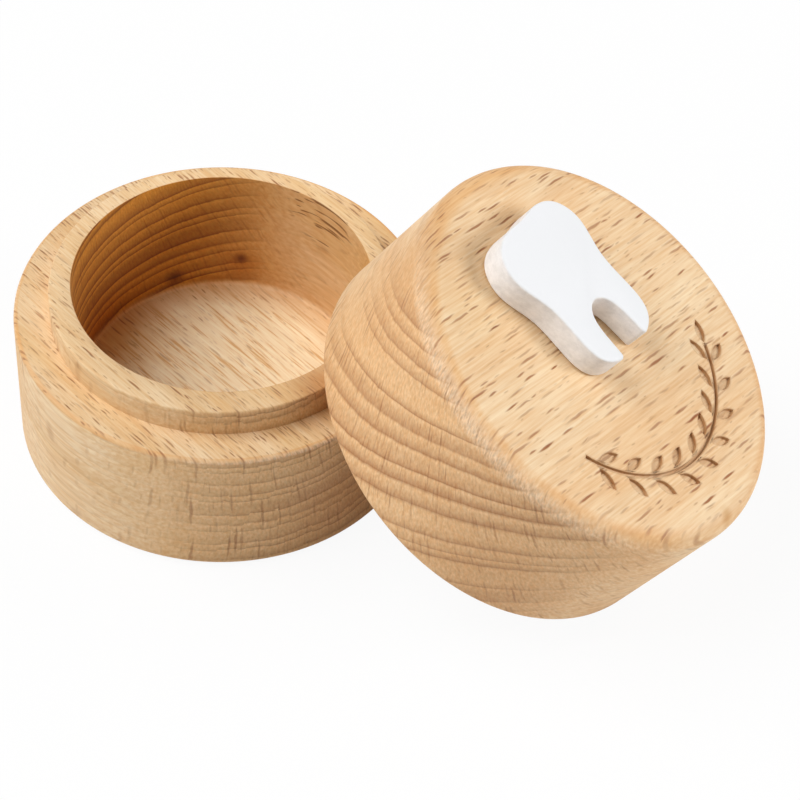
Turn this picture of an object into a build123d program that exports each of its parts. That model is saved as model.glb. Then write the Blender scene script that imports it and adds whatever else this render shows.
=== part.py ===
from build123d import *
import os
from math import cos, radians, sin

# Baby tooth box: a turned beech base and its loose lid, which leans on the base as it does when
# the box has just been opened. Millimetres, +Z up, origin in the middle of the base's foot.

# Both halves
box_diameter = 50.0
shoulder_width = 4.3
rim_wall = 2.6
rim_height = 3.7

# How far a cutter reaches past the face that it opens, and how near an edge must be to the height
# and radius asked for to be the one that is rounded
cut_overrun = 1.0
edge_match = 0.05

# Base: height from the foot to the shoulder, and the bore, which sits a little off the middle
body_height = 19.2
floor_thickness = 4.5
bore_off_middle = 0.7
foot_rounding = 1.5
shoulder_rounding = 0.6
rim_rounding = 0.3
floor_corner_rounding = 0.8

# Lid
lid_height = 21.0
lid_roof = 6.5
lid_top_rounding = 2.3
lid_mouth_rounding = 0.8
fit_clearance = 0.25
seat_clearance = 0.3

# Tooth ornament, sawn from thin board
tooth_length = 19.4
tooth_thickness = 3.5
crown_width = 15.9
crown_dip = 0.15
waist_width = 13.3
root_width = 11.7
root_gap = 5.6
root_gap_depth = 6.95
root_corners = 2
root_corner_rounding = 0.5
tooth_edge_rounding = 0.25
tooth_face_margin = 5.4
tooth_side_shift = 0.7
tooth_turn = 4.8

# Places on the tooth's outline: out from its middle line as a share of half the width named
# there, and up from the root tips as a share of its length, or of the gap's depth in the gap
crown_top_shares = (0.35, 1.0)
crown_corner_shares = (0.82, 0.94)
crown_belly_shares = (1.0, 0.78)
waist_up_share = 0.52
root_up_share = 0.085
root_gap_side_shares = (0.91, 0.5)
root_gap_shoulder_shares = (0.55, 0.9)

# Glue film under the tooth
glue_thickness = 0.15
glue_inset = 0.8

# Burnt-in garland on the lid's face: a stem on an arc, with leaves in pairs
garland_margin = 6.3
garland_span = 124.0
garland_depth = 0.4
stem_width = 0.55
leaf_pairs = 9
leaf_length = 3.1
leaf_width = 1.25
leaf_turn = 38.0
leaf_stem_gap = 0.25

# How the lid leans: tilt from level, direction in plan, turn about its own axis, distance from
# the line that the direction draws through the base, and the gap left where it touches
lean_angle = 32.5
lean_direction = -11.5
lid_turn = 67.0
lean_side_shift = -4.5
rest_gap = 0.2
seating_steps = 14

box_radius = box_diameter / 2
rim_radius = box_radius - shoulder_width
bore_radius = rim_radius - rim_wall
base_top = body_height + rim_height
face_radius = box_radius - lid_top_rounding
recess_radius = rim_radius + fit_clearance
recess_depth = rim_height + seat_clearance
garland_radius = face_radius - garland_margin


def disc(radius, height, bottom=0):
    """A plain upright cylinder that stands on the height given."""
    return Pos(0, 0, bottom) * extrude(Circle(radius), height)


def circles_at(shape, height, radius):
    """The full circular edges of a shape at one height and radius."""
    circles = shape.edges().filter_by(GeomType.CIRCLE)
    level = circles.filter_by(lambda edge: abs(edge.center().Z - height) < edge_match)
    return level.filter_by(lambda edge: abs(edge.radius - radius) < edge_match)


def rounded(shape, height, radius, rounding):
    """Rounds the circular edge of a shape at one height and radius."""
    return fillet(circles_at(shape, height, radius), rounding)


def make_base():
    """Turned body with a raised rim for the lid, bored out for the teeth."""
    body = disc(box_radius, body_height)
    body = rounded(body, 0, box_radius, foot_rounding)
    body = rounded(body, body_height, box_radius, shoulder_rounding)
    body += disc(rim_radius, base_top)
    body = rounded(body, base_top, rim_radius, rim_rounding)
    bore = disc(bore_radius, base_top - floor_thickness + cut_overrun, floor_thickness)
    bore = rounded(bore, floor_thickness, bore_radius, floor_corner_rounding)
    return body - Pos(0, bore_off_middle, 0) * bore


def make_lid_blank():
    """Turned lid before engraving, mouth down at zero height."""
    lid = disc(box_radius, lid_height)
    lid = rounded(lid, lid_height, box_radius, lid_top_rounding)
    lid = rounded(lid, 0, box_radius, lid_mouth_rounding)
    lid -= disc(recess_radius, recess_depth + cut_overrun, -cut_overrun)
    hollow = disc(bore_radius, lid_height - lid_roof + cut_overrun, -cut_overrun)
    hollow = rounded(hollow, lid_height - lid_roof, bore_radius, floor_corner_rounding)
    return lid - hollow


def make_leaf():
    """Leaf outline between two arcs, from its foot at the origin outwards along +X."""
    foot = (0, 0)
    tip = (leaf_length, 0)
    upper = ThreePointArc(foot, (leaf_length / 2, leaf_width / 2), tip)
    lower = ThreePointArc(tip, (leaf_length / 2, -leaf_width / 2), foot)
    return make_face(Curve() + [upper, lower])


def make_garland():
    """The whole engraved pattern as one cutter that reaches down to its depth."""
    start = -90 - garland_span / 2
    middle_line = CenterArc((0, 0), garland_radius, start, garland_span)
    pattern = Sketch() + trace(middle_line, stem_width)
    foot_offset = stem_width / 2 + leaf_stem_gap
    for pair in range(leaf_pairs):
        angle = start + garland_span * (pair + 1 / 2) / leaf_pairs
        for side in (-1, 1):
            foot = Pos(garland_radius + side * foot_offset, 0)
            heading = Rot(0, 0, 90 - side * leaf_turn)
            pattern += Rot(0, 0, angle) * foot * heading * make_leaf()
    last_foot = Pos(garland_radius, 0) * Rot(0, 0, 90) * Pos(leaf_stem_gap, 0)
    pattern += Rot(0, 0, start + garland_span) * last_foot * make_leaf()
    cutter = extrude(pattern, garland_depth + cut_overrun)
    return Pos(0, 0, lid_height - garland_depth) * cutter


def tooth_outline(inset=0):
    """Flat tooth outline, root tips on the X axis, or the same drawn in by an inset."""
    length = tooth_length - 2 * inset
    half_crown = crown_width / 2 - inset
    half_waist = waist_width / 2 - inset
    half_root = root_width / 2 - inset
    half_gap = root_gap / 2 + inset
    right = [
        (half_crown * crown_top_shares[0], length * crown_top_shares[1]),
        (half_crown * crown_corner_shares[0], length * crown_corner_shares[1]),
        (half_crown * crown_belly_shares[0], length * crown_belly_shares[1]),
        (half_waist, length * waist_up_share),
        (half_root, length * root_up_share),
        (half_gap, 0),
    ]
    left = [(-x, y) for x, y in reversed(right)]
    outer = Spline(*left, (0, length - crown_dip), *right)
    gap_right = [
        (half_gap, 0),
        (half_gap * root_gap_side_shares[0], root_gap_depth * root_gap_side_shares[1]),
        (half_gap * root_gap_shoulder_shares[0], root_gap_depth * root_gap_shoulder_shares[1]),
    ]
    gap_left = [(-x, y) for x, y in reversed(gap_right)]
    gap = Spline(*gap_right, (0, root_gap_depth), *gap_left)
    outline = make_face(Curve() + [outer, gap])
    return Pos(0, inset, 0) * outline


def tooth_place(height):
    """Where the tooth lies on the lid: its foot at this height, its crown near the edge."""
    middle = face_radius - tooth_face_margin - tooth_length / 2
    turned = Pos(-tooth_side_shift, middle, height) * Rot(0, 0, tooth_turn)
    return turned * Pos(0, -tooth_length / 2, 0)


def make_tooth():
    """Sawn tooth with its root corners rounded and its upper edge broken."""
    outline = tooth_outline()
    corners = outline.vertices().sort_by(Axis.Y)[:root_corners]
    blank = extrude(fillet(corners, root_corner_rounding), tooth_thickness)
    upper_edges = blank.faces().sort_by(Axis.Z)[-1].edges()
    return tooth_place(lid_height + glue_thickness) * fillet(upper_edges, tooth_edge_rounding)


def make_glue():
    """Film of glue, which stops short of the tooth's outline."""
    return tooth_place(lid_height) * extrude(tooth_outline(glue_inset), glue_thickness)


def lid_place(distance):
    """Leaning place: lowest point of the mouth on the table, this far out from the base."""
    lean = radians(lean_angle)
    ring = box_radius - lid_mouth_rounding
    height = ring * sin(lean) + lid_mouth_rounding * (1 - cos(lean))
    along = Rot(0, 0, lean_direction) * Pos(distance, lean_side_shift, height)
    return along * Rot(0, lean_angle, 0) * Rot(0, 0, lid_turn)


def leaning_distance():
    """Slides the lid towards the base until only the rest gap is left.

    It starts clear of the base, and no step is longer than the gap still to close. Plain discs
    stand for the two halves, whose rounded edges lie inside them.
    """
    seat = disc(box_radius, body_height) + disc(rim_radius, base_top)
    mouth = disc(box_radius, lid_height) - disc(recess_radius, recess_depth)
    distance = box_diameter
    for _ in range(seating_steps):
        gap = seat.distance_to(lid_place(distance) * mouth)
        distance -= gap - rest_gap
    return distance


leaning = lid_place(leaning_distance())
nodes = {
    "base": make_base(),
    "lid": leaning * (make_lid_blank() - make_garland()),
    "tooth": leaning * make_tooth(),
    "tooth_glue": leaning * make_glue(),
}

os.makedirs("parts", exist_ok=True)
for name, shape in nodes.items():
    export_step(shape.solid(), f"parts/{name}.step")
print("lid place:", leaning.position, leaning.orientation)
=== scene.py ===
"""Baby tooth box: a turned beech base, the loose lid that leans on it and a white tooth ornament.

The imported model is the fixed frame, and each piece made here takes its place from it. Sizes in the
classes are millimetres and angles are degrees. A mesh is shaped in millimetres, in the piece's own
frame, and then laid in the row's frame in metres.
"""

import logging
from dataclasses import dataclass, field
from enum import Enum
from math import cos, pi, radians, sin
from typing import Any, Callable, Iterable, Optional, Union

import bmesh
import bpy
from mathutils import Matrix, Vector


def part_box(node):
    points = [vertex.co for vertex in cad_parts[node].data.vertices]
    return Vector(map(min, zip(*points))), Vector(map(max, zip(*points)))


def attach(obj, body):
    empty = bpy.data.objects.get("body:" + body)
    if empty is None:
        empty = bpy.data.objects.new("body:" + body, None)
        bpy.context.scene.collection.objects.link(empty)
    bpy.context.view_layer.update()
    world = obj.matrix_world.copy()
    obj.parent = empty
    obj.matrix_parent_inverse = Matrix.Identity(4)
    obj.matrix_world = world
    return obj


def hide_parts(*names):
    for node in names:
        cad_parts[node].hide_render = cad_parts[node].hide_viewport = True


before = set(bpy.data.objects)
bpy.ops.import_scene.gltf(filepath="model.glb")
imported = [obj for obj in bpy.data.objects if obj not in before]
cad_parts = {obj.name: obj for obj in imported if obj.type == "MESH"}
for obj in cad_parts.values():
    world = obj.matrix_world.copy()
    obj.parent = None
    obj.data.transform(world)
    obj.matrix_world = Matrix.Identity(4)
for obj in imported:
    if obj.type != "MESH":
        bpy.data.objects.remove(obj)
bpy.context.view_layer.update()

Feed = Union[float, tuple, Vector, bpy.types.Node, bpy.types.NodeSocket]
Layer = tuple[Feed, str]
Range = tuple[float, float]
Sizes = tuple[float, float, float]

MM = 0.001
UP = Vector((0.0, 0.0, 1.0))
WHITE = (1.0, 1.0, 1.0, 1.0)
# Edges that turn by more than this stay crisp
SHARP_ANGLE = 40.0
# A blank's own axes in its log: along the fibres, and across them, round the log
ALONG = Vector((1.0, 0.0, 0.0))
ACROSS = Vector((0.0, 1.0, 0.0))
# Nearly all values of a noise texture lie in the first range, and most in the second
NOISE_RANGE: Range = (0.2, 0.8)
NOISE_MIDDLE: Range = (0.3, 0.7)
NOISE_MEAN = (0.5, 0.5, 0.5)

log = logging.getLogger("tooth_box")


class Body(Enum):
    """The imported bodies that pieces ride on."""

    BASE = "base"
    LID = "lid"


class Node(Enum):
    """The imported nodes."""

    BASE = "base"
    LID = "lid"
    TOOTH = "tooth"
    GLUE = "tooth_glue"


class Slot(Enum):
    """Names of the record's material slots."""

    BASE_BEECH = "base_beech"
    LID_BEECH = "lid_beech"
    TOOTH_PAINT = "tooth_paint"


class Mark(Enum):
    """The shares that a mesh carries for its wood, each from nothing to one."""

    # The bore's wall share carries painted shade and the tool's smear, and the floor share carries
    # painted light and the tool's lines
    BORED = "bored"
    BORED_FLOOR = "bore_floor_light"
    WORN_EDGE = "worn_edge"
    BURN = "burn"


class Way(Enum):
    """How a colour lies on another."""

    COVER = "MIX"
    STAIN = "MULTIPLY"


def linear(hex_colour: str) -> tuple[float, float, float, float]:
    """Turns an sRGB hex colour to linear light, along the curve of the sRGB standard.

    Args:
        hex_colour: Six hex digits, such as "E0BC8C".

    Returns:
        Red, green, blue and an alpha of one.
    """
    parts = [int(hex_colour[place:place + 2], 16) / 255 for place in (0, 2, 4)]
    red, green, blue = (p / 12.92 if p <= 0.04045 else ((p + 0.055) / 1.055) ** 2.4 for p in parts)
    return red, green, blue, 1.0


@dataclass
class Graph:
    """The shader nodes of one material or of the sky, and the steps that the finishes share."""

    tree: bpy.types.NodeTree

    def add(
        self, kind: str, *feeds: Feed, inputs: Optional[dict[Any, Feed]] = None, **settings: Any
    ) -> bpy.types.Node:
        """Adds one shader node with its settings and links.

        A feed is a value, a socket, or a node, which stands for its first output.

        Args:
            kind: The node's type without its "ShaderNode" prefix.
            feeds: What goes into its first inputs, in their order.
            inputs: What goes into other inputs, by name or number.
            settings: The node's own settings by name.

        Returns:
            The new node.
        """
        node = self.tree.nodes.new("ShaderNode" + kind)
        for name, value in settings.items():
            setattr(node, name, value)
        for name, feed in (dict(enumerate(feeds)) | (inputs or {})).items():
            if isinstance(feed, bpy.types.Node):
                feed = feed.outputs[0]
            if isinstance(feed, bpy.types.NodeSocket):
                self.tree.links.new(feed, node.inputs[name])
            else:
                node.inputs[name].default_value = feed
        return node

    def stretched(self, grain: Feed, sizes: Sizes) -> bpy.types.Node:
        """Divides log coordinates by a pattern's size along the fibres, round the log and out."""
        steps = tuple(1.0 / size for size in sizes)
        return self.add("VectorMath", grain, steps, operation="MULTIPLY")

    def noise(self, grain: Feed, sizes: Sizes, detail: float = 0.0) -> bpy.types.Node:
        """Draws soft noise with the given sizes along the fibres, round the log and out."""
        inputs = {"Vector": self.stretched(grain, sizes), "Scale": 1.0, "Detail": detail}
        return self.add("TexNoise", inputs=inputs)

    def lay_over(self, ground: Feed, layers: Iterable[Layer], way: Way = Way.COVER) -> Feed:
        """Lays hex colours over a colour, one after another.

        Args:
            ground: The colour underneath.
            layers: The share and the hex colour of each.
            way: How they lie on it.

        Returns:
            The colour with its layers.
        """
        for share, colour in layers:
            inputs = {0: share, 6: ground, 7: linear(colour)}
            mixed = self.add("Mix", inputs=inputs, data_type="RGBA", blend_type=way.value)
            ground = mixed.outputs[2]
        return ground

    def local(self, spot: bpy.types.Node, origin: Vector, turn: Matrix) -> bpy.types.Node:
        """Turns a place on the piece to millimetres of another frame.

        Args:
            spot: The texture coordinates.
            origin: The other frame's origin, in metres of the row's frame.
            turn: How the other frame is turned.

        Returns:
            A node whose first output is the place.
        """
        inputs = {
            "Vector": spot.outputs["Object"],
            "Location": origin,
            "Rotation": turn.to_euler(),
            "Scale": (MM, MM, MM),
        }
        return self.add("Mapping", inputs=inputs, vector_type="TEXTURE")

    def finish(
        self, colour: Feed, roughness: Feed, ior: float, height: Feed, relief: float
    ) -> None:
        """Ends the graph with a solid surface that has a fine relief.

        Args:
            colour: Its colour.
            roughness: Its roughness.
            ior: Its index of refraction.
            height: The relief's pattern.
            relief: How far one step of the pattern stands out, in millimetres.
        """
        bump = self.add("Bump", inputs={"Height": height, "Distance": relief * MM})
        inputs = {"Base Color": colour, "Roughness": roughness, "IOR": ior, "Normal": bump}
        skin = self.add("BsdfPrincipled", inputs=inputs)
        self.add("OutputMaterial", inputs={"Surface": skin})


def new_material(name: str) -> tuple[bpy.types.Material, Graph]:
    """Makes an empty node material.

    Args:
        name: The material's name.

    Returns:
        The material and its graph, without nodes.
    """
    material = bpy.data.materials.new(name)
    material.use_nodes = True
    material.node_tree.nodes.clear()
    return material, Graph(material.node_tree)


@dataclass(frozen=True)
class Ribbons:
    """One family of rays: thin flat ribbons of dark cells that run out from the pith.

    Sizes go along the fibres, round the log and outwards. The strengths are a dash's on the long
    grain and a line's on the end grain. A ribbon waves a little, and the slip is how far ribbons
    that lie side by side start from each other. Each ribbon is dark inside its core share and
    fades outside it, and the least shares are those of the smallest ribbon.
    """

    spacing: Sizes
    half_size: Sizes
    share: float
    strength: float
    end_strength: float
    slip: float = 0.0
    slip_sizes: Sizes = (30.0, 0.9, 30.0)
    wave: float = 0.06
    wave_sizes: Sizes = (1.6, 1.5, 1.4)
    scatter: float = 0.75
    core: float = 0.35
    least_length: float = 0.28
    least_girth: float = 0.7
    least_depth: float = 0.3

    def draw(self, graph: Graph, grain: Feed) -> Feed:
        """Draws the family: a flat spindle in most cells of a stretched cell pattern.

        Args:
            graph: The material's graph.
            grain: Log coordinates in millimetres.

        Returns:
            Up to one on a ray and zero off it.
        """
        wave, slip = (
            graph.add("MapRange", graph.noise(grain, sizes), *NOISE_RANGE, -reach, reach)
            for sizes, reach in ((self.wave_sizes, self.wave), (self.slip_sizes, self.slip))
        )
        shift = graph.add("CombineXYZ", inputs={1: wave, 2: slip})
        place = graph.add("VectorMath", grain, shift, operation="ADD")
        spread = graph.stretched(place, self.spacing)
        inputs = {"Vector": spread, "Scale": 1.0, "Randomness": self.scatter}
        cells = graph.add("TexVoronoi", inputs=inputs)
        offset = graph.add("VectorMath", spread, cells.outputs["Position"], operation="SUBTRACT")
        stretch = tuple(cell / half for cell, half in zip(self.spacing, self.half_size))
        offset = graph.add("VectorMath", offset, stretch, operation="MULTIPLY")
        # Short rays are nearly as thick as long ones
        chance = graph.add("SeparateColor", cells.outputs["Color"])
        length = graph.add("MapRange", chance, 0.0, 1.0, self.least_length, 1.0)
        girth = graph.add("MapRange", chance, 0.0, 1.0, self.least_girth, 1.0)
        size = graph.add("CombineXYZ", length, girth, 1.0)
        offset = graph.add("VectorMath", offset, size, operation="DIVIDE")
        away = graph.add("VectorMath", offset, operation="LENGTH").outputs["Value"]
        spindle = graph.add("MapRange", away, 1.0, self.core, interpolation_type="SMOOTHSTEP")
        present = graph.add("Math", chance.outputs[1], self.share, operation="LESS_THAN")
        depth = graph.add("MapRange", chance.outputs[2], 0.0, 1.0, self.least_depth, 1.0)
        shown = graph.add("Math", spindle, present, operation="MULTIPLY")
        return graph.add("Math", shown, depth, operation="MULTIPLY")


# The lid's rays are longer and further apart than the base's
LONG_RAYS = (
    Ribbons((5.6, 0.62, 5.0), (3.1, 0.190, 2.5), share=0.92, strength=1.0, end_strength=0.36),
    Ribbons((2.4, 0.50, 3.0), (1.10, 0.12, 1.4), share=0.60, strength=0.40, end_strength=0.30),
)
SHORT_RAYS = (
    Ribbons(
        (3.7, 0.52, 7.0), (2.0, 0.180, 3.4), share=0.96, strength=0.85, end_strength=0.48, slip=3.2
    ),
    Ribbons(
        (1.9, 0.42, 2.4), (0.85, 0.12, 1.1), share=0.85, strength=0.55, end_strength=0.25, slip=1.1
    ),
)


@dataclass(frozen=True)
class Spot:
    """A round place where the wood is tinted, in millimetres of the row's frame."""

    place: Vector
    reach: float
    tint: str

    def near(self, graph: Graph, spot: bpy.types.Node) -> bpy.types.Node:
        """One in the spot's middle and nothing beyond its reach.

        Args:
            graph: The material's graph.
            spot: The texture coordinates.

        Returns:
            A node whose first output is the share.
        """
        place = self.place * MM
        away = graph.add("VectorMath", spot.outputs["Object"], place, operation="DISTANCE")
        away = away.outputs["Value"]
        return graph.add("MapRange", away, self.reach * MM, 0.0, interpolation_type="SMOOTHSTEP")


@dataclass(frozen=True)
class Blank:
    """Where a piece's blank lay in its log.

    The pith is in metres of the row's frame, and the turn's own X runs along the fibres. The log
    isn't perfectly round: its rings sway in and out.
    """

    pith: Vector
    turn: Matrix
    pith_distance: float
    sway: float = 0.8
    sway_sizes: Sizes = (55.0, 16.0, 16.0)

    def grain(self, graph: Graph, spot: bpy.types.Node) -> tuple[Feed, Feed]:
        """Turns a place on the piece to log coordinates in millimetres.

        Args:
            graph: The material's graph.
            spot: The texture coordinates.

        Returns:
            Along the fibres, round the log and out from the pith, and the outward part alone.
        """
        straight = graph.local(spot, self.pith, self.turn)
        drift = graph.noise(straight, self.sway_sizes, detail=1.0).outputs["Color"]
        drift = graph.add("VectorMath", drift, NOISE_MEAN, operation="SUBTRACT")
        reach = (0.0, 2 * self.sway, 2 * self.sway)
        shift = graph.add("VectorMath", drift, reach, operation="MULTIPLY")
        grown = graph.add("VectorMath", straight, shift, operation="ADD")
        parts = graph.add("SeparateXYZ", grown)
        outward = graph.add("VectorMath", grown, (0.0, 1.0, 1.0), operation="MULTIPLY")
        out = graph.add("VectorMath", outward, operation="LENGTH").outputs["Value"]
        below = graph.add("Math", parts.outputs["Z"], -1.0, operation="MULTIPLY")
        angle = graph.add("Math", parts.outputs["Y"], below, operation="ARCTAN2")
        around = graph.add("Math", angle, self.pith_distance, operation="MULTIPLY")
        return graph.add("CombineXYZ", parts, around, out), out


@dataclass(frozen=True)
class Cut:
    """How the surface cuts the wood. The shares go from nothing to one.

    Attributes:
        spot: The texture coordinates.
        grain: Log coordinates in millimetres.
        out: Distance from the pith in millimetres.
        end_on: How squarely it cuts the fibres.
        quarter: How squarely it cuts the rings, where the rays' broad sides would show.
        edge: One on a worn edge where it cuts the fibres.
        bored: One on the bore's wall.
        floor: One on the bore's floor.
        rounding: One on any worn edge.
        burn: How strongly it is burnt.
    """

    spot: bpy.types.Node
    grain: Feed
    out: Feed
    end_on: Feed
    quarter: Feed
    edge: Feed
    bored: Feed
    floor: Feed
    rounding: Feed
    burn: Feed


@dataclass(frozen=True)
class GrowthRings:
    """Growth rings: pale early wood that darkens to late wood, and turns pale again at once.

    They step a little in or out at the rays, so that they look like courses of bricks. The boring
    tool smears that, and a worn edge is paler. The seasons are places in a year's growth and how
    dark the wood is there, and a year's vigour is how dark its late wood gets.
    """

    width: float
    contrast: float = 0.95
    end_cut: Range = (0.35, 1.0)
    quarter_contrast: float = 0.3
    flat_contrast: float = 0.12
    quarter_cut: Range = (0.82, 0.98)
    smeared_share: float = 0.25
    worn_share: float = 0.4
    step: float = 0.3
    step_sizes: Sizes = (9.0, 1.3, 4.0)
    unevenness: float = 2.6
    unevenness_pace: float = 0.22
    least_vigour: float = 0.55
    seasons: tuple[tuple[float, float], ...] = (
        (0.0, 0.85), (0.1, 0.08), (0.18, 0.0), (0.5, 0.25), (0.8, 0.55), (0.93, 0.8), (0.98, 1.0)
    )

    def late_share(self, graph: Graph, cut: Cut) -> Feed:
        """Says how far into its dark late wood a ring is.

        Args:
            graph: The material's graph.
            cut: How the surface cuts the wood.

        Returns:
            A share that rises from zero to one through each ring.
        """
        inputs = {"Vector": graph.stretched(cut.grain, self.step_sizes), "Scale": 1.0}
        steps = graph.add("TexVoronoi", inputs=inputs).outputs["Color"]
        steps = graph.add("SeparateColor", steps)
        smeared_step = self.step * self.smeared_share
        step = graph.add("MapRange", cut.bored, 0.0, 1.0, self.step, smeared_step)
        out = graph.add("Math", steps, step, cut.out, operation="MULTIPLY_ADD")
        pace = graph.add("Math", out, self.unevenness_pace, operation="MULTIPLY")
        inputs = {"W": pace, "Scale": 1.0, "Detail": 1.0}
        uneven = graph.add("TexNoise", inputs=inputs, noise_dimensions="1D")
        years = graph.add("Math", out, 1.0 / self.width, operation="MULTIPLY")
        years = graph.add("Math", uneven, self.unevenness, years, operation="MULTIPLY_ADD")
        year = graph.add("Math", years, operation="FLOOR")
        vigour = graph.add("TexWhiteNoise", inputs={"W": year}, noise_dimensions="1D")
        vigour = vigour.outputs["Value"]
        vigour = graph.add("MapRange", vigour, 0.0, 1.0, self.least_vigour, 1.0)
        season = graph.add("Math", years, operation="FRACT")
        tone = graph.add("ValToRGB", season)
        stops = tone.color_ramp.elements
        stops.remove(stops[1])
        for number, (position, shade) in enumerate(self.seasons):
            stop = stops.new(position) if number else stops[0]
            stop.color = (shade, shade, shade, 1.0)
        return graph.add("Math", tone, vigour, operation="MULTIPLY")

    def show(self, graph: Graph, cut: Cut) -> Feed:
        """Says how strongly the rings show.

        Args:
            graph: The material's graph.
            cut: How the surface cuts the wood.

        Returns:
            A share, which is highest on the end grain.
        """
        on_quarter = graph.add(
            "MapRange", cut.quarter, *self.quarter_cut, self.flat_contrast, self.quarter_contrast,
            interpolation_type="SMOOTHSTEP",
        )
        smearing = graph.add("MapRange", cut.bored, 0.0, 1.0, 1.0, self.smeared_share)
        on_quarter = graph.add("Math", on_quarter, smearing, operation="MULTIPLY")
        on_end = graph.add("MapRange", cut.end_on, *self.end_cut, 0.0, self.contrast)
        strongest = graph.add("Math", on_end, on_quarter, operation="MAXIMUM")
        wear = graph.add("MapRange", cut.edge, 0.0, 1.0, 1.0, self.worn_share)
        return graph.add("Math", strongest, wear, operation="MULTIPLY")


@dataclass(frozen=True)
class TurnedBeech:
    """Steamed beech, turned on a lathe and fine-sanded, without oil.

    The grain is a solid one, laid out as in the log: growth rings about the pith, rays that run
    out from it as thin upright ribbons, and fibres along it. So a face across the rays shows short
    dark dashes, and end grain shows ring lines with fine ray lines across them. Real fibres and
    pores are finer than these, which are drawn as coarse as they need to show.

    A tint darkens what is under it. A cut is a range of how squarely the surface cuts the fibres
    or the rings. Heights are shares of the relief.
    """

    name: str
    blank: Blank
    rings: GrowthRings
    rays: tuple[Ribbons, ...]
    spots: tuple[Spot, ...] = ()
    torn: Optional[Spot] = None

    early_wood: str = "F3DAB4"
    warm_patch: str = "EDCA9D"
    patch_sizes: Sizes = (35.0, 5.0, 8.0)
    patch_range: Range = (0.35, 0.65)
    late_tint: str = "B49A85"

    end_grain: str = "E7BE8C"
    end_grain_cut: Range = (0.2, 0.95)
    end_colour_cut: Range = (0.0, 0.6)
    end_colour_share: float = 0.8

    worn_edge: str = "EFD0AC"
    torn_edge: str = "E3B071"
    torn_edge_shares: Range = (0.45, 0.9)
    torn_edge_cut: Range = (0.0, 0.8)

    # Painted shade in the bore: its wall is browner, most on the end grain, and its late wood darker
    bore_shade: str = "D29128"
    bore_shade_shares: Range = (0.36, 0.95)
    # Painted light: the bore's floor is paler
    bore_floor_light: str = "FCEDCA"
    bore_shade_late_tint: str = "9A6C50"
    sliver_sizes: Sizes = (7.0, 0.8, 0.5)
    sliver_range: Range = (0.6, 0.66)
    sliver_border: Range = (0.1, 0.4)
    sliver_share: float = 0.8

    ray_tint: str = "A3703C"
    ray_cut: Range = (0.65, 0.97)
    ray_quarter_share: float = 0.4
    ray_smeared_share: float = 0.6

    fibre_tint: str = "F1E1CE"
    fibre_sizes: Sizes = (6.0, 0.26, 0.5)
    floor_tint: str = "EBD6BC"
    floor_line_range: Range = (0.45, 0.33)
    pore_sizes: Sizes = (0.9, 0.22, 0.6)
    pore_shade: float = 0.08
    edge_pore_shade: float = 0.14

    burnt: str = "8A5A2A"
    relief: float = 0.07
    ring_height: float = -0.1
    ray_height: float = -0.6
    pore_height: float = 0.5
    edge_pore_height: float = 1.2
    roughness: float = 0.58
    end_roughness: float = 0.12
    ior: float = 1.5

    def look(self, graph: Graph) -> Cut:
        """Works out how the surface cuts the wood.

        Args:
            graph: The material's graph.

        Returns:
            The place in the log, and how the surface lies there.
        """
        spot = graph.add("TexCoord")
        normal = spot.outputs["Normal"]
        grain, out = self.blank.grain(graph, spot)
        facings = [
            graph.add("VectorMath", normal, self.blank.turn @ axis, operation="DOT_PRODUCT")
            for axis in (ALONG, ACROSS)
        ]
        end_on, quarter = (
            graph.add("Math", facing.outputs["Value"], operation="ABSOLUTE") for facing in facings
        )
        end_on = graph.add(
            "MapRange", end_on, *self.end_grain_cut, interpolation_type="SMOOTHSTEP"
        )
        bored, floor, rounding, burn = (
            graph.add("Attribute", attribute_name=mark.value).outputs["Fac"] for mark in Mark
        )
        edge = graph.add("Math", rounding, end_on, operation="MULTIPLY")
        return Cut(spot, grain, out, end_on, quarter, edge, bored, floor, rounding, burn)

    def plain_wood(self, graph: Graph, cut: Cut) -> Feed:
        """Colours the wood without its pattern.

        Args:
            graph: The material's graph.
            cut: How the surface cuts the wood.

        Returns:
            Pale wood with warmer patches, then painted light on the bore's floor, end grain,
            edges, and painted shade on the bore's wall, strongest on its end grain.
        """
        patches = graph.noise(cut.grain, self.patch_sizes, detail=2.0)
        patches = graph.add("MapRange", patches, *self.patch_range)
        end_share = graph.add(
            "MapRange", cut.end_on, *self.end_colour_cut, 0.0, self.end_colour_share
        )
        torn = graph.add("MapRange", patches, 0.0, 1.0, *self.torn_edge_shares)
        torn = graph.add("Math", cut.rounding, torn, operation="MULTIPLY")
        long_grain = graph.add("MapRange", cut.end_on, *self.torn_edge_cut, 1.0, 0.0)
        torn = graph.add("Math", torn, long_grain, operation="MULTIPLY")
        # Painted shade: the bore's wall is browner, most on its end grain; the floor layer is
        # painted light
        bored = graph.add("MapRange", cut.end_on, 0.0, 1.0, *self.bore_shade_shares)
        bored = graph.add("Math", cut.bored, bored, operation="MULTIPLY")
        layers = (
            (patches, self.warm_patch),
            (cut.floor, self.bore_floor_light),
            (end_share, self.end_grain),
            (torn, self.torn_edge),
            (cut.edge, self.worn_edge),
            (bored, self.bore_shade),
        )
        return graph.lay_over(linear(self.early_wood), layers)

    def spot_stains(self, graph: Graph, cut: Cut) -> list[Layer]:
        """Tints pin knots, flecks and round patches of painted shade, and slivers where the boring
        tool tore the fibres.

        Args:
            graph: The material's graph.
            cut: How the surface cuts the wood.

        Returns:
            The stains, lowest first.
        """
        stains = [(spot.near(graph, cut.spot), spot.tint) for spot in self.spots]
        if self.torn:
            slivers = graph.noise(cut.grain, self.sliver_sizes, detail=1.0)
            slivers = graph.add("MapRange", slivers, *self.sliver_range, 0.0, self.sliver_share)
            here = self.torn.near(graph, cut.spot)
            here = graph.add("MapRange", here, *self.sliver_border)
            for share in (here, cut.bored):
                slivers = graph.add("Math", slivers, share, operation="MULTIPLY")
            stains.append((slivers, self.torn.tint))
        return stains

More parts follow.
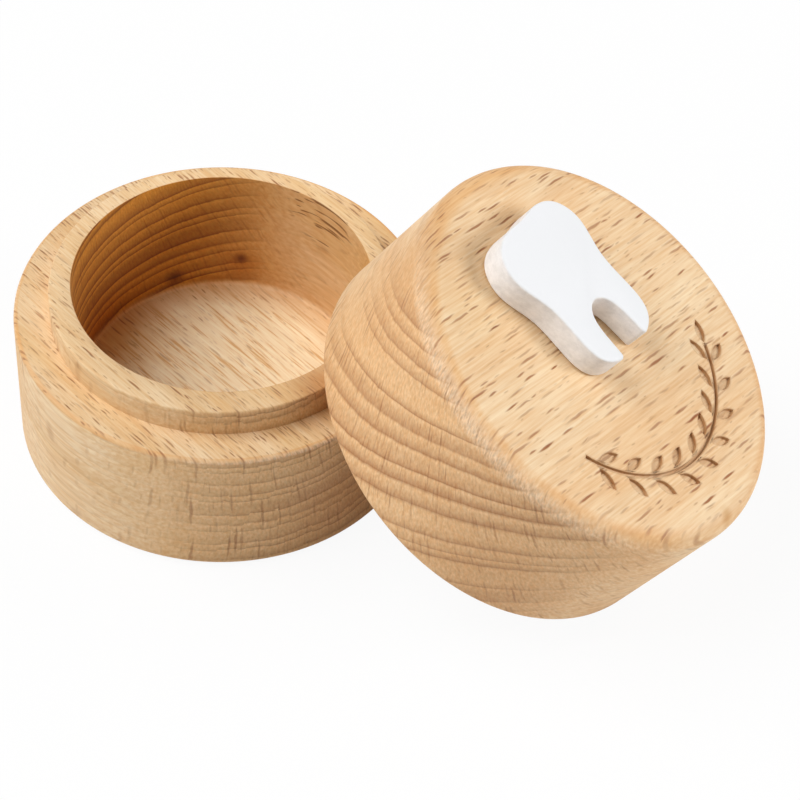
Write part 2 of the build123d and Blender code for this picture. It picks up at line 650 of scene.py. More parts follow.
    def ray_stains(self, graph: Graph, cut: Cut, height: Feed) -> tuple[list[Layer], Feed]:
        """Draws dashes on the long grain and fine lines on the end grain.

        Args:
            graph: The material's graph.
            cut: How the surface cuts the wood.
            height: The relief so far.

        Returns:
            The stains, which the boring tool blurs, and the relief with the rays.
        """
        show = graph.add(
            "MapRange", cut.quarter, *self.ray_cut, 1.0, self.ray_quarter_share,
            interpolation_type="SMOOTHSTEP",
        )
        bored = graph.add("Math", cut.bored, cut.floor, operation="MAXIMUM")
        blur = graph.add("MapRange", bored, 0.0, 1.0, 1.0, self.ray_smeared_share)
        show = graph.add("Math", show, blur, operation="MULTIPLY")
        stains = []
        for kind in self.rays:
            rays = graph.add("Math", kind.draw(graph, cut.grain), show, operation="MULTIPLY")
            strengths = (kind.strength, kind.end_strength)
            strength = graph.add("MapRange", cut.end_on, 0.0, 1.0, *strengths)
            share = graph.add("Math", rays, strength, operation="MULTIPLY")
            stains.append((share, self.ray_tint))
            depth = self.ray_height * kind.strength
            height = graph.add("Math", rays, depth, height, operation="MULTIPLY_ADD")
        return stains, height

    def fibre_stains(self, graph: Graph, cut: Cut) -> list[Layer]:
        """Draws fine fibres, and the lines that the boring tool left on the bore's floor.

        Args:
            graph: The material's graph.
            cut: How the surface cuts the wood.

        Returns:
            The stains, lowest first.
        """
        fibres = graph.noise(cut.grain, self.fibre_sizes, detail=2.0)
        streaks = graph.add("MapRange", fibres, *NOISE_MIDDLE, 1.0, 0.0)
        lines = graph.add("MapRange", fibres, *self.floor_line_range)
        lines = graph.add("Math", lines, cut.floor, operation="MULTIPLY")
        return [(streaks, self.fibre_tint), (lines, self.floor_tint)]

    def open_pores(self, graph: Graph, cut: Cut, wood: Feed, height: Feed) -> tuple[Feed, Feed]:
        """Shades open pores on the end grain, and pits the worn edge with coarser ones.

        Args:
            graph: The material's graph.
            cut: How the surface cuts the wood.
            wood: The wood's colour so far.
            height: The relief so far.

        Returns:
            The colour and the relief with the pores.
        """
        pores = graph.noise(cut.grain, self.pore_sizes, detail=1.0)
        reach = graph.add(
            "Math", cut.edge, self.edge_pore_shade, self.pore_shade, operation="MULTIPLY_ADD"
        )
        pits = graph.add("MapRange", pores, *NOISE_MIDDLE, -1.0, 1.0)
        for share in (reach, cut.end_on):
            pits = graph.add("Math", pits, share, operation="MULTIPLY")
        shade = graph.add("Math", pits, 1.0, operation="ADD")
        wood = graph.add("VectorMath", wood, inputs={"Scale": shade}, operation="SCALE")
        depth = graph.add(
            "Math", cut.edge, self.edge_pore_height, self.pore_height, operation="MULTIPLY_ADD"
        )
        return wood, graph.add("Math", pores, depth, height, operation="MULTIPLY_ADD")

    def build(self) -> bpy.types.Material:
        """Makes the material.

        Returns:
            The beech, in metres of the row's frame.
        """
        material, graph = new_material(self.name)
        cut = self.look(graph)
        late = self.rings.late_share(graph, cut)
        late = graph.add("Math", late, self.rings.show(graph, cut), operation="MULTIPLY")
        # Painted shade: late wood is darker on the bore's wall
        bore_shade_late = graph.add("Math", late, cut.bored, operation="MULTIPLY")
        height = graph.add("Math", late, self.ring_height, operation="MULTIPLY")
        rays, height = self.ray_stains(graph, cut, height)
        stains = [
            (late, self.late_tint),
            (bore_shade_late, self.bore_shade_late_tint),
            *self.spot_stains(graph, cut),
            *rays,
            *self.fibre_stains(graph, cut),
        ]
        wood = graph.lay_over(self.plain_wood(graph, cut), stains, Way.STAIN)
        wood, height = self.open_pores(graph, cut, wood, height)
        wood = graph.lay_over(wood, [(cut.burn, self.burnt)])
        end_rough = self.roughness + self.end_roughness
        rough = graph.add("MapRange", cut.end_on, 0.0, 1.0, self.roughness, end_rough)
        graph.finish(wood, rough, self.ior, height, self.relief)
        return material


@dataclass(frozen=True)
class WhitePaint:
    """Matt white paint, sprayed on a sawn and sanded board.

    The flat face is clean and smooth, and the sawn sides keep a few greyish marks.
    """

    name: str
    lay: Matrix
    colour: str = "ECEDEF"
    side_colour: str = "F3F1F0"
    face_cut: Range = (0.5, 0.95)
    marks_per_mm: Sizes = (0.9, 0.9, 1.3)
    mark_detail: float = 5.0
    mark_roughness: float = 0.65
    mark_range: Range = (0.3, 0.62)
    mark_shades: Range = (0.84, 1.0)
    grit_per_mm: float = 5.0
    grit_detail: float = 3.0
    grit_height: float = 0.35
    relief: float = 0.06
    roughness: float = 0.5
    ior: float = 1.46

    def build(self) -> bpy.types.Material:
        """Makes the material.

        Returns:
            The paint, in metres of the row's frame.
        """
        material, graph = new_material(self.name)
        spot = graph.add("TexCoord")
        own = graph.local(spot, self.lay.to_translation(), self.lay)
        upward = self.lay.to_3x3() @ UP
        flat = graph.add("VectorMath", spot.outputs["Normal"], upward, operation="DOT_PRODUCT")
        flat = graph.add("MapRange", flat.outputs["Value"], *self.face_cut)
        inputs = {
            "Vector": graph.add("VectorMath", own, self.marks_per_mm, operation="MULTIPLY"),
            "Scale": 1.0,
            "Detail": self.mark_detail,
            "Roughness": self.mark_roughness,
        }
        marks = graph.add("TexNoise", inputs=inputs)
        grime = graph.add("MapRange", marks, *self.mark_range, *self.mark_shades)
        side = linear(self.side_colour)[:3]
        side = graph.add("VectorMath", side, inputs={"Scale": grime}, operation="SCALE")
        colour = graph.lay_over(side, [(flat, self.colour)])
        inputs = {"Vector": own, "Scale": self.grit_per_mm, "Detail": self.grit_detail}
        grit = graph.add("TexNoise", inputs=inputs)
        on_sides = graph.add("MapRange", flat, 0.0, 1.0, 1.0, 0.0)
        height = graph.add("Math", marks, on_sides, operation="MULTIPLY")
        height = graph.add("Math", grit, self.grit_height, height, operation="MULTIPLY_ADD")
        graph.finish(colour, self.roughness, self.ior, height, self.relief)
        return material


@dataclass(frozen=True)
class DriedGlue:
    """White wood glue, dried to a yellowish film with faint ripples."""

    name: str
    colour: str = "DCCFA6"
    ripples_per_metre: float = 900.0
    ripple_detail: float = 2.0
    ripple_shades: Range = (0.9, 1.05)
    relief: float = 0.03
    roughness: float = 0.35
    ior: float = 1.47

    def build(self) -> bpy.types.Material:
        """Makes the material.

        Returns:
            The glue, in metres of the row's frame.
        """
        material, graph = new_material(self.name)
        inputs = {
            "Vector": graph.add("TexCoord").outputs["Object"],
            "Scale": self.ripples_per_metre,
            "Detail": self.ripple_detail,
        }
        ripples = graph.add("TexNoise", inputs=inputs)
        shade = graph.add("MapRange", ripples, 0.0, 1.0, *self.ripple_shades)
        colour = linear(self.colour)[:3]
        colour = graph.add("VectorMath", colour, inputs={"Scale": shade}, operation="SCALE")
        graph.finish(colour, self.roughness, self.ior, ripples, self.relief)
        return material


def round_edges(
    work: bmesh.types.BMesh, edges: list[bmesh.types.BMEdge], rounding: float, segments: int
) -> None:
    """Rounds edges with an arc of so many segments."""
    bmesh.ops.bevel(
        work, geom=edges, offset=rounding, offset_type="OFFSET", segments=segments,
        profile=0.5, affect="EDGES", material=-1, clamp_overlap=True,
    )


def verts_among(items: Iterable[Any]) -> list[bmesh.types.BMVert]:
    """Picks the vertices from what a mesh operator returns."""
    return [item for item in items if isinstance(item, bmesh.types.BMVert)]


@dataclass
class Lathe:
    """Turns outlines about an upright axis, and rounds the rings that they leave."""

    work: bmesh.types.BMesh
    middle: Vector = field(default_factory=Vector)
    steps: int = 360
    match: float = 0.01

    def turn(self, outline: Iterable[tuple[float, float]]) -> None:
        """Turns an open outline a full turn.

        Args:
            outline: Radius and height of each corner, in order.
        """
        corners = [self.work.verts.new(self.middle + Vector((out, 0.0, up))) for out, up in outline]
        sides = [self.work.edges.new(pair) for pair in zip(corners, corners[1:])]
        bmesh.ops.spin(
            self.work, geom=corners + sides, cent=self.middle, axis=UP, angle=2 * pi,
            steps=self.steps, use_merge=True,
        )
        bmesh.ops.remove_doubles(self.work, verts=self.work.verts, dist=self.match)

    def ring(self, radius: float, height: float) -> list[bmesh.types.BMEdge]:
        """Finds the edges round one ring.

        Args:
            radius: The ring's radius.
            height: Its height.

        Returns:
            Its edges.
        """

        def on_ring(vert: bmesh.types.BMVert) -> bool:
            """Says whether a vertex lies on the ring."""
            away = vert.co - self.middle
            return max(abs(away.xy.length - radius), abs(away.z - height)) < self.match

        return [edge for edge in self.work.edges if all(on_ring(vert) for vert in edge.verts)]

    def round_over(self, radius: float, height: float, rounding: float, segments: int) -> None:
        """Rounds one ring with an arc of so many segments."""
        round_edges(self.work, self.ring(radius, height), rounding, segments)


def mark_verts(work: bmesh.types.BMesh, mark: Mark, share: Callable[[Vector], float]) -> None:
    """Writes a share for each vertex, for the material to read.

    Args:
        work: The mesh.
        mark: Which share.
        share: Works it out from the vertex's place.
    """
    layer = work.verts.layers.float.new(mark.value)
    for vert in work.verts:
        vert[layer] = min(1.0, max(0.0, share(vert.co)))


def make_piece(work: bmesh.types.BMesh, name: str, lay: Matrix) -> bpy.types.Object:
    """Turns a shaped mesh into an object that sits at the row's origin.

    Args:
        work: The mesh in millimetres, in the piece's own frame. It is freed.
        name: The object's name.
        lay: The piece's place in the row's frame, in millimetres.

    Returns:
        The new object, linked to the scene.
    """
    bmesh.ops.recalc_face_normals(work, faces=work.faces)
    bmesh.ops.transform(work, matrix=Matrix.Scale(MM, 4) @ lay, verts=work.verts)
    for face in work.faces:
        face.smooth = True
    mesh = bpy.data.meshes.new(name)
    work.to_mesh(mesh)
    work.free()
    mesh.set_sharp_from_angle(angle=radians(SHARP_ANGLE))
    piece = bpy.data.objects.new(name, mesh)
    bpy.context.scene.collection.objects.link(piece)
    return piece


def dress(
    piece: bpy.types.Object, material: bpy.types.Material, body: Body, slot: Slot, *nodes: Node
) -> None:
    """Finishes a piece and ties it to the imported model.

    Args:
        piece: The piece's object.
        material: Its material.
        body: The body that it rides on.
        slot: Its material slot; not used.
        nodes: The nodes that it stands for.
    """
    piece.data.materials.clear()
    piece.data.materials.append(material)
    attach(piece, body.value)
    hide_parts(*(node.value for node in nodes))
    log.info("%s: %d faces, rides on %s", piece.name, len(piece.data.polygons), body.value)


@dataclass(frozen=True)
class BoxSizes:
    """Sizes that the two halves share."""

    radius: float = 25.0
    rim_radius: float = 20.7
    rim_height: float = 3.7
    bore_radius: float = 18.1
    corner_rounding: float = 0.8
    corner_segments: int = 6


@dataclass
class TurnedBase:
    """Lower half: a turned body with a raised rim, bored out a little off its middle.

    The bore's wall is painted browner, as painted shade in the hollow, and that runs out over the
    border of its floor as painted shade in the floor's corner. The floor is painted paler, as
    painted light. The edge gain is how soon wear is at its strongest, up the shoulder's rounding.
    """

    sizes: BoxSizes
    body_height: float = 19.2
    floor_height: float = 4.5
    bore_off_middle: float = 0.7
    foot_rounding: float = 1.5
    foot_segments: int = 8
    shoulder_rounding: float = 0.6
    shoulder_segments: int = 5
    rim_rounding: float = 0.3
    rim_segments: int = 4
    bore_rounding: float = 0.12
    bore_segments: int = 2
    floor_border: float = 4.5
    edge_gain: float = 4.0
    fibre_direction: float = -44.0
    pith_side: float = -14.5
    pith_height: float = 99.0
    rings: GrowthRings = GrowthRings(width=1.8, contrast=0.9, quarter_contrast=0.32, step=0.42)
    early_wood: str = "F1D7B0"
    warm_patch: str = "E8C592"
    end_grain: str = "E6C08E"
    knots: tuple[Spot, ...] = (
        Spot(Vector((0.7, 18.8, 8.9)), 1.4, "A08254"),
        Spot(Vector((0.9, 18.8, 8.0)), 4.0, "EED8AA"),
        Spot(Vector((-7.7, 17.1, 6.3)), 2.0, "A48660"),
    )
    # Round patches of painted shade: on the bore's floor by its left wall, and on the outer wall and
    # the rim where the lid stands close
    shade_and_fleck_spots: tuple[Spot, ...] = (
        Spot(Vector((-15.6, 7.5, 4.5)), 9.5, "E8CC9A"),
        Spot(Vector((17.5, -18.0, 7.0)), 14.0, "E8D6C6"),
        Spot(Vector((13.0, -15.4, 22.4)), 6.0, "E2C8AE"),
    )
    torn: Spot = Spot(Vector((11.3, 14.8, 20.8)), 7.5, "8A6440")

    def shape(self) -> bmesh.types.BMesh:
        """Shapes the base, foot down, with its foot's middle at the origin.

        Returns:
            The mesh in millimetres.
        """
        work = bmesh.new()
        sizes = self.sizes
        top = self.body_height + sizes.rim_height
        outside = Lathe(work)
        outside.turn((
            (0.0, 0.0),
            (sizes.radius, 0.0),
            (sizes.radius, self.body_height),
            (sizes.rim_radius, self.body_height),
            (sizes.rim_radius, top),
        ))
        bore = Lathe(work, Vector((0.0, self.bore_off_middle, 0.0)))
        bore.turn((
            (sizes.bore_radius, top),
            (sizes.bore_radius, self.floor_height),
            (sizes.bore_radius - self.floor_border, self.floor_height),
            (0.0, self.floor_height),
        ))
        rim_edges = outside.ring(sizes.rim_radius, top) + bore.ring(sizes.bore_radius, top)
        bmesh.ops.bridge_loops(work, edges=rim_edges)
        shoulder = (self.shoulder_rounding, self.shoulder_segments)
        corner = (sizes.corner_rounding, sizes.corner_segments)
        outside.round_over(sizes.radius, 0.0, self.foot_rounding, self.foot_segments)
        outside.round_over(sizes.radius, self.body_height, *shoulder)
        outside.round_over(sizes.rim_radius, top, self.rim_rounding, self.rim_segments)
        bore.round_over(sizes.bore_radius, top, self.bore_rounding, self.bore_segments)
        bore.round_over(sizes.bore_radius, self.floor_height, *corner)
        mark_verts(work, Mark.BORED, self.bored_share)
        mark_verts(work, Mark.BORED_FLOOR, self.floor_share)
        mark_verts(work, Mark.WORN_EDGE, self.edge_share)
        return work

    def from_bore_wall(self, place: Vector) -> float:
        """How far inside the bore's wall a place is."""
        return self.sizes.bore_radius - (place.xy - Vector((0.0, self.bore_off_middle))).length

    def bored_share(self, place: Vector) -> float:
        """Says how much of the bore's wall colour, which is painted shade, and of the tool's smear a
        place has.

        Args:
            place: A place on the base.

        Returns:
            One on the bore's wall, and less across the border of its floor.
        """
        inside = self.from_bore_wall(place)
        below = place.z < self.floor_height - self.sizes.corner_rounding
        if inside < -self.bore_rounding / 2 or below:
            return 0.0
        return 1.0 - inside / self.floor_border

    def floor_share(self, place: Vector) -> float:
        """Says how much of the bore's painted light and floor lines a place has.

        Args:
            place: A place on the base.

        Returns:
            One on the bore's floor, and less across its border.
        """
        inside = self.from_bore_wall(place)
        if inside <= 0.0 or abs(place.z - self.floor_height) > self.sizes.corner_rounding:
            return 0.0
        return inside / self.floor_border

    def edge_share(self, place: Vector) -> float:
        """Says how worn a place is.

        Args:
            place: A place on the base.

        Returns:
            At least one on the rounding of the shoulder's outer edge, and nothing or less off it.
        """
        outward = place.xy.length - (self.sizes.radius - self.shoulder_rounding)
        upward = place.z - (self.body_height - self.shoulder_rounding)
        return self.edge_gain * min(outward, upward) / self.shoulder_rounding

    def build(self) -> bpy.types.Object:
        """Makes and dresses the base.

        Returns:
            The base's object.
        """
        turn = Matrix.Rotation(radians(self.fibre_direction), 3, "Z")
        pith = turn @ Vector((0.0, self.pith_side, self.pith_height)) * MM
        wood = TurnedBeech(
            "beech_turned_base", Blank(pith, turn, self.pith_height - self.body_height),
            self.rings, SHORT_RAYS, self.knots + self.shade_and_fleck_spots, self.torn,
            early_wood=self.early_wood, warm_patch=self.warm_patch, end_grain=self.end_grain,
        )
        piece = make_piece(self.shape(), "turned_base", Matrix())
        dress(piece, wood.build(), Body.BASE, Slot.BASE_BEECH, Node.BASE)
        return piece


@dataclass
class Garland:
    """Burnt-in pattern on the lid's face: a stem on an arc, with leaves in pairs."""

    radius: float
    span: float = 124.0
    stem_width: float = 0.55
    leaf_pairs: int = 9
    leaf_length: float = 3.1
    leaf_width: float = 1.25
    leaf_turn: float = 38.0
    leaf_stem_gap: float = 0.25
    arc_steps: int = 10
    weld: float = 0.005

    def leaf(self, work: bmesh.types.BMesh, lay: Matrix) -> None:
        """Draws one leaf outline between two arcs, from its foot at the origin along +X.

        Args:
            work: The pattern's mesh.
            lay: Where the leaf goes.
        """
        half_length, half_width = self.leaf_length / 2, self.leaf_width / 2
        arc_radius = (half_length ** 2 + half_width ** 2) / (2 * half_width)
        half_turn = 2 * Vector((half_length, 0.0)).angle(Vector((half_length, half_width)))
        # Out along the upper arc, whose middle lies below, and back along the lower one
        foot = tip = work.verts.new((0.0, 0.0, 0.0))
        for side in (1, -1):
            middle = Vector((half_length, side * (half_width - arc_radius), 0.0))
            arc = bmesh.ops.spin(
                work, geom=[tip], cent=middle, axis=-UP, angle=2 * half_turn, steps=self.arc_steps
            )
            tip = verts_among(arc["geom_last"])[-1]
        bmesh.ops.transform(work, matrix=lay, verts=self.connected(foot))

    def connected(self, start: bmesh.types.BMVert) -> list[bmesh.types.BMVert]:
        """Finds the vertices that edges join to one.

        Args:
            start: That vertex.

        Returns:
            The vertices, itself included.
        """
        found, queue = {start}, [start]
        while queue:
            for edge in queue.pop().link_edges:
                for vert in edge.verts:
                    if vert not in found:
                        found.add(vert)
                        queue.append(vert)
        return list(found)

    def stem(self, work: bmesh.types.BMesh) -> None:
        """Draws the stem's outline, which starts where the span does.

        Args:
            work: The pattern's mesh.
        """
        start = radians(-90.0 - self.span / 2)
        ray = Vector((cos(start), sin(start), 0.0))
        ends = [
            work.verts.new(ray * (self.radius + side * self.stem_width / 2)) for side in (-1, 1)
        ]
        work.edges.new(ends)
        arcs = bmesh.ops.spin(
            work, geom=ends, cent=(0.0, 0.0, 0.0), axis=UP, angle=radians(self.span),
            steps=self.arc_steps * self.leaf_pairs,
        )
        work.edges.new(verts_among(arcs["geom_last"]))

    def draw(self, height: float) -> bpy.types.Mesh:
        """Draws every outline of the pattern flat, round the lid's axis.

        Args:
            height: The height that it is drawn at.

        Returns:
            A mesh of outlines alone.
        """
        work = bmesh.new()
        self.stem(work)
        start = -90.0 - self.span / 2
        foot_offset = self.stem_width / 2 + self.leaf_stem_gap
        for pair in range(self.leaf_pairs):
            angle = start + self.span * (pair + 0.5) / self.leaf_pairs
            for side in (-1, 1):
                self.leaf(
                    work,
                    Matrix.Rotation(radians(angle), 4, "Z")
                    @ Matrix.Translation((self.radius + side * foot_offset, 0.0, 0.0))
                    @ Matrix.Rotation(radians(90.0 - side * self.leaf_turn), 4, "Z"),
                )
        self.leaf(
            work,
            Matrix.Rotation(radians(start + self.span), 4, "Z")
            @ Matrix.Translation((self.radius, 0.0, 0.0))
            @ Matrix.Rotation(radians(90.0), 4, "Z")
            @ Matrix.Translation((self.leaf_stem_gap, 0.0, 0.0)),
        )
        bmesh.ops.remove_doubles(work, verts=work.verts, dist=self.weld)
        bmesh.ops.translate(work, vec=(0.0, 0.0, height), verts=work.verts)
        drawn = bpy.data.meshes.new("garland_outlines")
        work.to_mesh(drawn)
        work.free()
        return drawn


@dataclass
class TurnedLid:
    """Upper half: a turned lid with a recess for the rim, a bore and a burnt-in garland.

    The burns are shares, from the halo on the face down to the groove's floor. The edge gain is
    how soon wear is at its strongest, up the face's rounding. The rounding is cut a hair short of
    the face's open border, by the rounding share, and is then merged to it.
    """

    sizes: BoxSizes
    height: float = 21.0
    roof: float = 6.5
    top_rounding: float = 2.3
    top_rounding_share: float = 0.999
    top_segments: int = 10
    mouth_rounding: float = 0.8
    mouth_segments: int = 6
    recess_clearance: float = 0.25
    seat_clearance: float = 0.3
    edge_gain: float = 2.5
    garland_margin: float = 6.3
    groove_depth: float = 0.4
    groove_lip: float = 0.06
    groove_wall_slope: float = 0.02
    groove_floor_border: float = 0.12
    halo: float = 0.22
    halo_burn: float = 0.3
    lip_burn: float = 0.55
    wall_burn: float = 0.42
    floor_burn: float = 0.1
    lean_angle: float = 32.5
    lean_direction: float = -11.5
    lid_turn: float = 67.0
    fibre_turn: float = -4.0
    pith_side: float = 132.6
    pith_height: float = 177.3
    rings: GrowthRings = GrowthRings(width=2.3, step=0.1)
    end_grain: str = "E7BD8B"
    late_tint: str = "B6957A"
    # The first three are round patches of painted shade: high on the side that faces the base, on
    # the face, and low on the front side; the last is a small dark fleck
    shade_and_fleck_spots: tuple[Spot, ...] = (
        Spot(Vector((-12.5, 21.3, 17.0)), 12.0, "F3EDE6"),
        Spot(Vector((-13.7, 12.8, 21.0)), 8.0, "FCF8F0"),
        Spot(Vector((-22.5, -11.0, 4.4)), 13.0, "F6F1EC"),
        Spot(Vector((-1.9, -23.6, 20.4)), 1.6, "E2CDA6"),
    )

    def lean(self) -> Matrix:
        """How the lid is turned where it leans."""
        return (
            Matrix.Rotation(radians(self.lean_direction), 4, "Z")
            @ Matrix.Rotation(radians(self.lean_angle), 4, "Y")
            @ Matrix.Rotation(radians(self.lid_turn), 4, "Z")
        )

    def place(self) -> Matrix:
        """Finds the lid's place from its packed box.

        The lid's round body is widest where its wall is. So the box gives where its middle lies,
        once the turn is known.

        Returns:
            Its place in the row's frame, in millimetres.
        """
        lean = self.lean()
        axis = lean.to_3x3() @ UP
        low, high = (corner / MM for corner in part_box(Node.LID.value))
        ring = self.sizes.radius - self.mouth_rounding
        reach = [
            ring * (1.0 - axis[side] ** 2) ** 0.5 + self.mouth_rounding * (1.0 - abs(axis[side]))
            for side in range(3)
        ]
        middle = (low.x + reach[0], high.y - reach[1], low.z + reach[2])
        return Matrix.Translation(middle) @ lean

    def shape(self) -> bmesh.types.BMesh:
        """Shapes the lid, mouth down, with its mouth's middle at the origin.

        Returns:
            The mesh in millimetres.
        """
        work = bmesh.new()
        sizes = self.sizes
        recess_radius = sizes.rim_radius + self.recess_clearance
        recess_depth = sizes.rim_height + self.seat_clearance
        roof = self.height - self.roof
        face_radius = sizes.radius - self.top_rounding
        lathe = Lathe(work)
        lathe.turn((
            (face_radius, self.height),
            (sizes.radius, self.height),
            (sizes.radius, 0.0),
            (recess_radius, 0.0),
            (recess_radius, recess_depth),
            (sizes.bore_radius, recess_depth),
            (sizes.bore_radius, roof),
            (0.0, roof),
        ))
        top_rounding = self.top_rounding * self.top_rounding_share
        lathe.round_over(sizes.radius, self.height, top_rounding, self.top_segments)
        lathe.round_over(sizes.radius, 0.0, self.mouth_rounding, self.mouth_segments)
        lathe.round_over(sizes.bore_radius, roof, sizes.corner_rounding, sizes.corner_segments)
        bmesh.ops.remove_doubles(work, verts=work.verts, dist=lathe.match)
        self.engrave(work, face_radius)
        mark_verts(work, Mark.WORN_EDGE, self.edge_share)
        return work

    def edge_share(self, place: Vector) -> float:
        """Says how worn a place is.

        Args:
            place: A place on the lid.

        Returns:
            At least one in the middle of the rounding round the face, and nothing off it.
        """
        outward = place.xy.length - (self.sizes.radius - self.top_rounding)
        upward = place.z - (self.height - self.top_rounding)
        if outward <= 0.0 or upward <= 0.0:
            return 0.0
        return self.edge_gain * min(outward, upward) / self.top_rounding

    def engrave(self, work: bmesh.types.BMesh, face_radius: float) -> None:
        """Closes the face round the garland's outlines, and sinks what they enclose.

        Args:
            work: The lid's mesh, open at its face.
            face_radius: Radius of the flat face.
        """
        burn = work.verts.layers.float.new(Mark.BURN.value)
        border = [edge for edge in work.edges if edge.is_boundary]
        old = set(work.edges)
        drawn = Garland(face_radius - self.garland_margin).draw(self.height)
        work.from_mesh(drawn)
        bpy.data.meshes.remove(drawn)
        outlines = [edge for edge in work.edges if edge not in old]
        filled = bmesh.ops.triangle_fill(work, edges=border + outlines, use_beauty=True, normal=UP)
        ground = [item for item in filled["geom"] if isinstance(item, bmesh.types.BMFace)]
        pockets = bmesh.ops.edgeloop_fill(work, edges=outlines)["faces"]
        bmesh.ops.recalc_face_normals(work, faces=work.faces)

        # The ground gets a ring round each pocket, where the burn fades
        bmesh.ops.inset_region(
            work, faces=ground, thickness=self.halo, use_even_offset=True, use_boundary=False
        )
        self.burn_in(pockets, burn, self.halo_burn)
        wall = self.groove_depth - self.groove_lip
        for inset, rise, share in (
            (self.groove_lip, -self.groove_lip, self.lip_burn),
            (self.groove_wall_slope, -wall, self.wall_burn),
            (self.groove_floor_border, 0.0, self.floor_burn),
        ):
            bmesh.ops.inset_individual(work, faces=pockets, thickness=inset, depth=rise)
            self.burn_in(pockets, burn, share)

    def burn_in(
        self, faces: list[bmesh.types.BMFace], layer: bmesh.types.BMLayerItem, share: float
    ) -> None:
        """Writes how strongly the corners of some faces are burnt."""
        for vert in {vert for face in faces for vert in face.verts}:
            vert[layer] = share

    def build(self) -> bpy.types.Object:
        """Makes and dresses the lid.

        Returns:
            The lid's object.
        """
        lay = self.place()
        pith = lay @ Vector((0.0, self.pith_side, self.pith_height)) * MM
        turn = lay.to_3x3() @ Matrix.Rotation(radians(self.fibre_turn), 3, "Z")
        distance = Vector((self.pith_side, self.pith_height - self.height / 2)).length
        spots = tuple(Spot(lay @ spot.place, spot.reach, spot.tint) for spot in self.shade_and_fleck_spots)
        wood = TurnedBeech(
            "beech_turned_lid", Blank(pith, turn, distance), self.rings, LONG_RAYS, spots,
            end_grain=self.end_grain, late_tint=self.late_tint,
        )
        piece = make_piece(self.shape(), "turned_lid", lay)
        dress(piece, wood.build(), Body.LID, Slot.LID_BEECH, Node.LID)
        return piece


@dataclass
class PaintedTooth:
    """Flat tooth ornament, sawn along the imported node's outline and painted white."""

    lid_place: Matrix
    height: float = 3.5
    edge_rounding: float = 0.3
    edge_segments: int = 4
    weld: float = 0.002
    match: float = 0.01

    def shape(self) -> bmesh.types.BMesh:
        """Shapes the tooth in the lid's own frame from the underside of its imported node.

        Returns:
            The mesh in millimetres.
        """
        work = bmesh.new()
        work.from_mesh(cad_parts[Node.TOOTH.value].data)
        to_lid = self.lid_place.inverted() @ Matrix.Scale(1 / MM, 4)
        bmesh.ops.transform(work, matrix=to_lid, verts=work.verts)
        bmesh.ops.remove_doubles(work, verts=work.verts, dist=self.weld)
        lowest = min(vert.co.z for vert in work.verts)
        others = [
            face for face in work.faces
            if any(vert.co.z > lowest + self.match for vert in face.verts)
        ]
        bmesh.ops.delete(work, geom=others, context="FACES")
        bmesh.ops.dissolve_faces(work, faces=work.faces[:])
        raised = bmesh.ops.extrude_face_region(work, geom=work.faces[:], use_keep_orig=True)["geom"]
        bmesh.ops.translate(work, vec=(0.0, 0.0, self.height), verts=verts_among(raised))
        for level in (lowest, lowest + self.height):
            rim = [
                edge for edge in work.edges
                if all(abs(vert.co.z - level) < self.match for vert in edge.verts)
            ]
            round_edges(work, rim, self.edge_rounding, self.edge_segments)
        return work

    def build(self) -> bpy.types.Object:
        """Makes and dresses the tooth.

        Returns:
            The tooth's object.
        """
        piece = make_piece(self.shape(), "painted_tooth", self.lid_place)
        origin = Matrix.Translation(self.lid_place.to_translation() * MM)
        paint = WhitePaint("paint_matt_white", origin @ self.lid_place.to_3x3().to_4x4())
        dress(piece, paint.build(), Body.LID, Slot.TOOTH_PAINT, Node.TOOTH)
        return piece


@dataclass(frozen=True)
class SoftLamp:
    """A square soft lamp that looks at the box.

    The azimuth is its direction in plan from the right, and the elevation its angle above the
    table. The power is in watts, and the size and the distance are in metres.
    """

    name: str
    azimuth: float
    elevation: float
    power: float
    size: float = 0.6
    distance: float = 1.4

    def hang(self) -> None:
        """Adds the lamp to the scene."""
        data = bpy.data.lights.new(self.name, "AREA")
        data.shape = "SQUARE"
        data.size = self.size
        data.energy = self.power
        lamp = bpy.data.objects.new(self.name, data)
        azimuth, elevation = radians(self.azimuth), radians(self.elevation)
        place = Vector((cos(azimuth), sin(azimuth), 0.0)) * cos(elevation)
        place.z = sin(elevation)
        turn = place.to_track_quat("Z", "Y").to_matrix().to_4x4()
        lamp.matrix_world = Matrix.Translation(place * self.distance) @ turn
        bpy.context.scene.collection.objects.link(lamp)


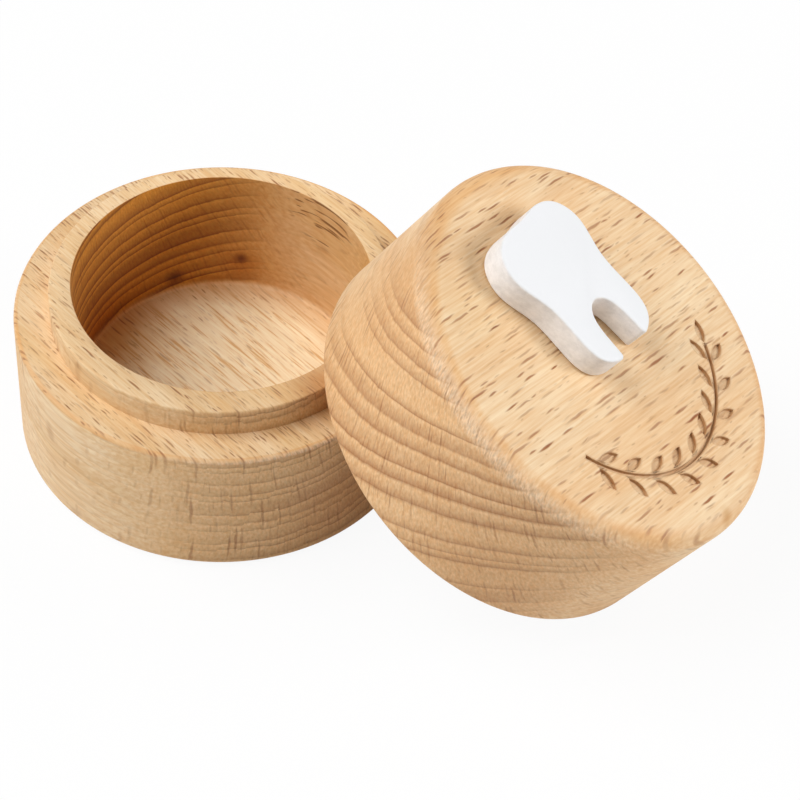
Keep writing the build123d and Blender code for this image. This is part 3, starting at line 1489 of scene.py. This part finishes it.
@dataclass
class Studio:
    """Pale floor, soft lamps and the camera.

    The lamps are a high one on the left, a low one on the right and a weak one in front, and the
    sky lights the box a little from all round.
    """

    target: Vector = field(default_factory=lambda: Vector((22.25, 4.1, 0.0)))
    elevation: float = 47.56
    roll: float = 3.74
    distance: float = 340.1
    lens: float = 120.3
    sensor: float = 36.0
    clip_start: float = 10.0
    clip_end: float = 100000.0
    floor_size: float = 6000.0
    floor_tone: str = "F0F0F0"
    floor_glow: float = 0.93
    sky_light: float = 0.23
    lamps: tuple[SoftLamp, ...] = (
        SoftLamp("lamp_left", 185.0, 55.0, 16.8, size=1.0),
        SoftLamp("lamp_right", 0.0, 20.0, 11.5),
        SoftLamp("lamp_front", 225.0, 55.0, 1.5),
    )

    def place_camera(self) -> None:
        """Puts the camera at the photo's viewing angle."""
        slope = radians(self.elevation)
        back = Vector((0.0, -cos(slope), sin(slope)))
        right = Vector((1.0, 0.0, 0.0))
        up = back.cross(right)
        tilt = radians(self.roll)
        across = right * cos(tilt) + up * sin(tilt)
        upward = up * cos(tilt) - right * sin(tilt)
        turn = Matrix((across, upward, back)).transposed().to_4x4()
        data = bpy.data.cameras.new("camera")
        data.lens = self.lens
        data.sensor_fit = "HORIZONTAL"
        data.sensor_width = self.sensor
        data.clip_start = self.clip_start * MM
        data.clip_end = self.clip_end * MM
        camera = bpy.data.objects.new("camera", data)
        camera.matrix_world = Matrix.Translation((self.target + back * self.distance) * MM) @ turn
        bpy.context.scene.collection.objects.link(camera)
        bpy.context.scene.camera = camera

    def light(self) -> None:
        """Hangs the lamps, and adds a white sky that lights the box less than it looks."""
        for lamp in self.lamps:
            lamp.hang()
        world = bpy.data.worlds.new("studio")
        bpy.context.scene.world = world
        world.use_nodes = True
        world.node_tree.nodes.clear()
        graph = Graph(world.node_tree)
        path = graph.add("LightPath")
        seen = path.outputs["Is Camera Ray"]
        for ray in ("Is Glossy Ray", "Is Transmission Ray"):
            seen = graph.add("Math", seen, path.outputs[ray], operation="MAXIMUM")
        strength = graph.add("MapRange", seen, 0.0, 1.0, self.sky_light, 1.0)
        sky = graph.add("Background", inputs={"Color": WHITE, "Strength": strength})
        graph.add("OutputWorld", inputs={"Surface": sky})

    def lay_floor(self) -> None:
        """Lays the floor, which the camera sees as white apart from the box's shadow."""
        work = bmesh.new()
        half = self.floor_size / 2 * MM
        bmesh.ops.create_grid(work, x_segments=1, y_segments=1, size=half)
        mesh = bpy.data.meshes.new("floor")
        work.to_mesh(mesh)
        work.free()
        floor = bpy.data.objects.new("floor", mesh)
        bpy.context.scene.collection.objects.link(floor)
        material, graph = new_material("paper_white_floor")
        matt = graph.add("BsdfDiffuse", inputs={"Color": linear(self.floor_tone)})
        glow = graph.add("Emission", inputs={"Color": WHITE, "Strength": 1.0})
        seen = graph.add("LightPath").outputs["Is Camera Ray"]
        share = graph.add("MapRange", seen, 0.0, 1.0, 0.0, self.floor_glow)
        both = graph.add("MixShader", share, matt, glow)
        graph.add("OutputMaterial", inputs={"Surface": both})
        mesh.materials.append(material)


def main() -> None:
    """Builds the box, its materials and the studio."""
    logging.basicConfig(level=logging.INFO, format="%(name)s: %(message)s")
    bpy.context.scene.view_settings.view_transform = "Standard"
    sizes = BoxSizes()
    TurnedBase(sizes).build()
    lid = TurnedLid(sizes)
    lid.build()
    PaintedTooth(lid.place()).build()
    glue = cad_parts[Node.GLUE.value]
    glue.data.materials.clear()
    glue.data.materials.append(DriedGlue("glue_dried_film").build())
    log.info("%s: %d faces, keeps its packed mesh", glue.name, len(glue.data.polygons))
    studio = Studio()
    studio.lay_floor()
    studio.light()
    studio.place_camera()


if __name__ == "__main__":
    main()
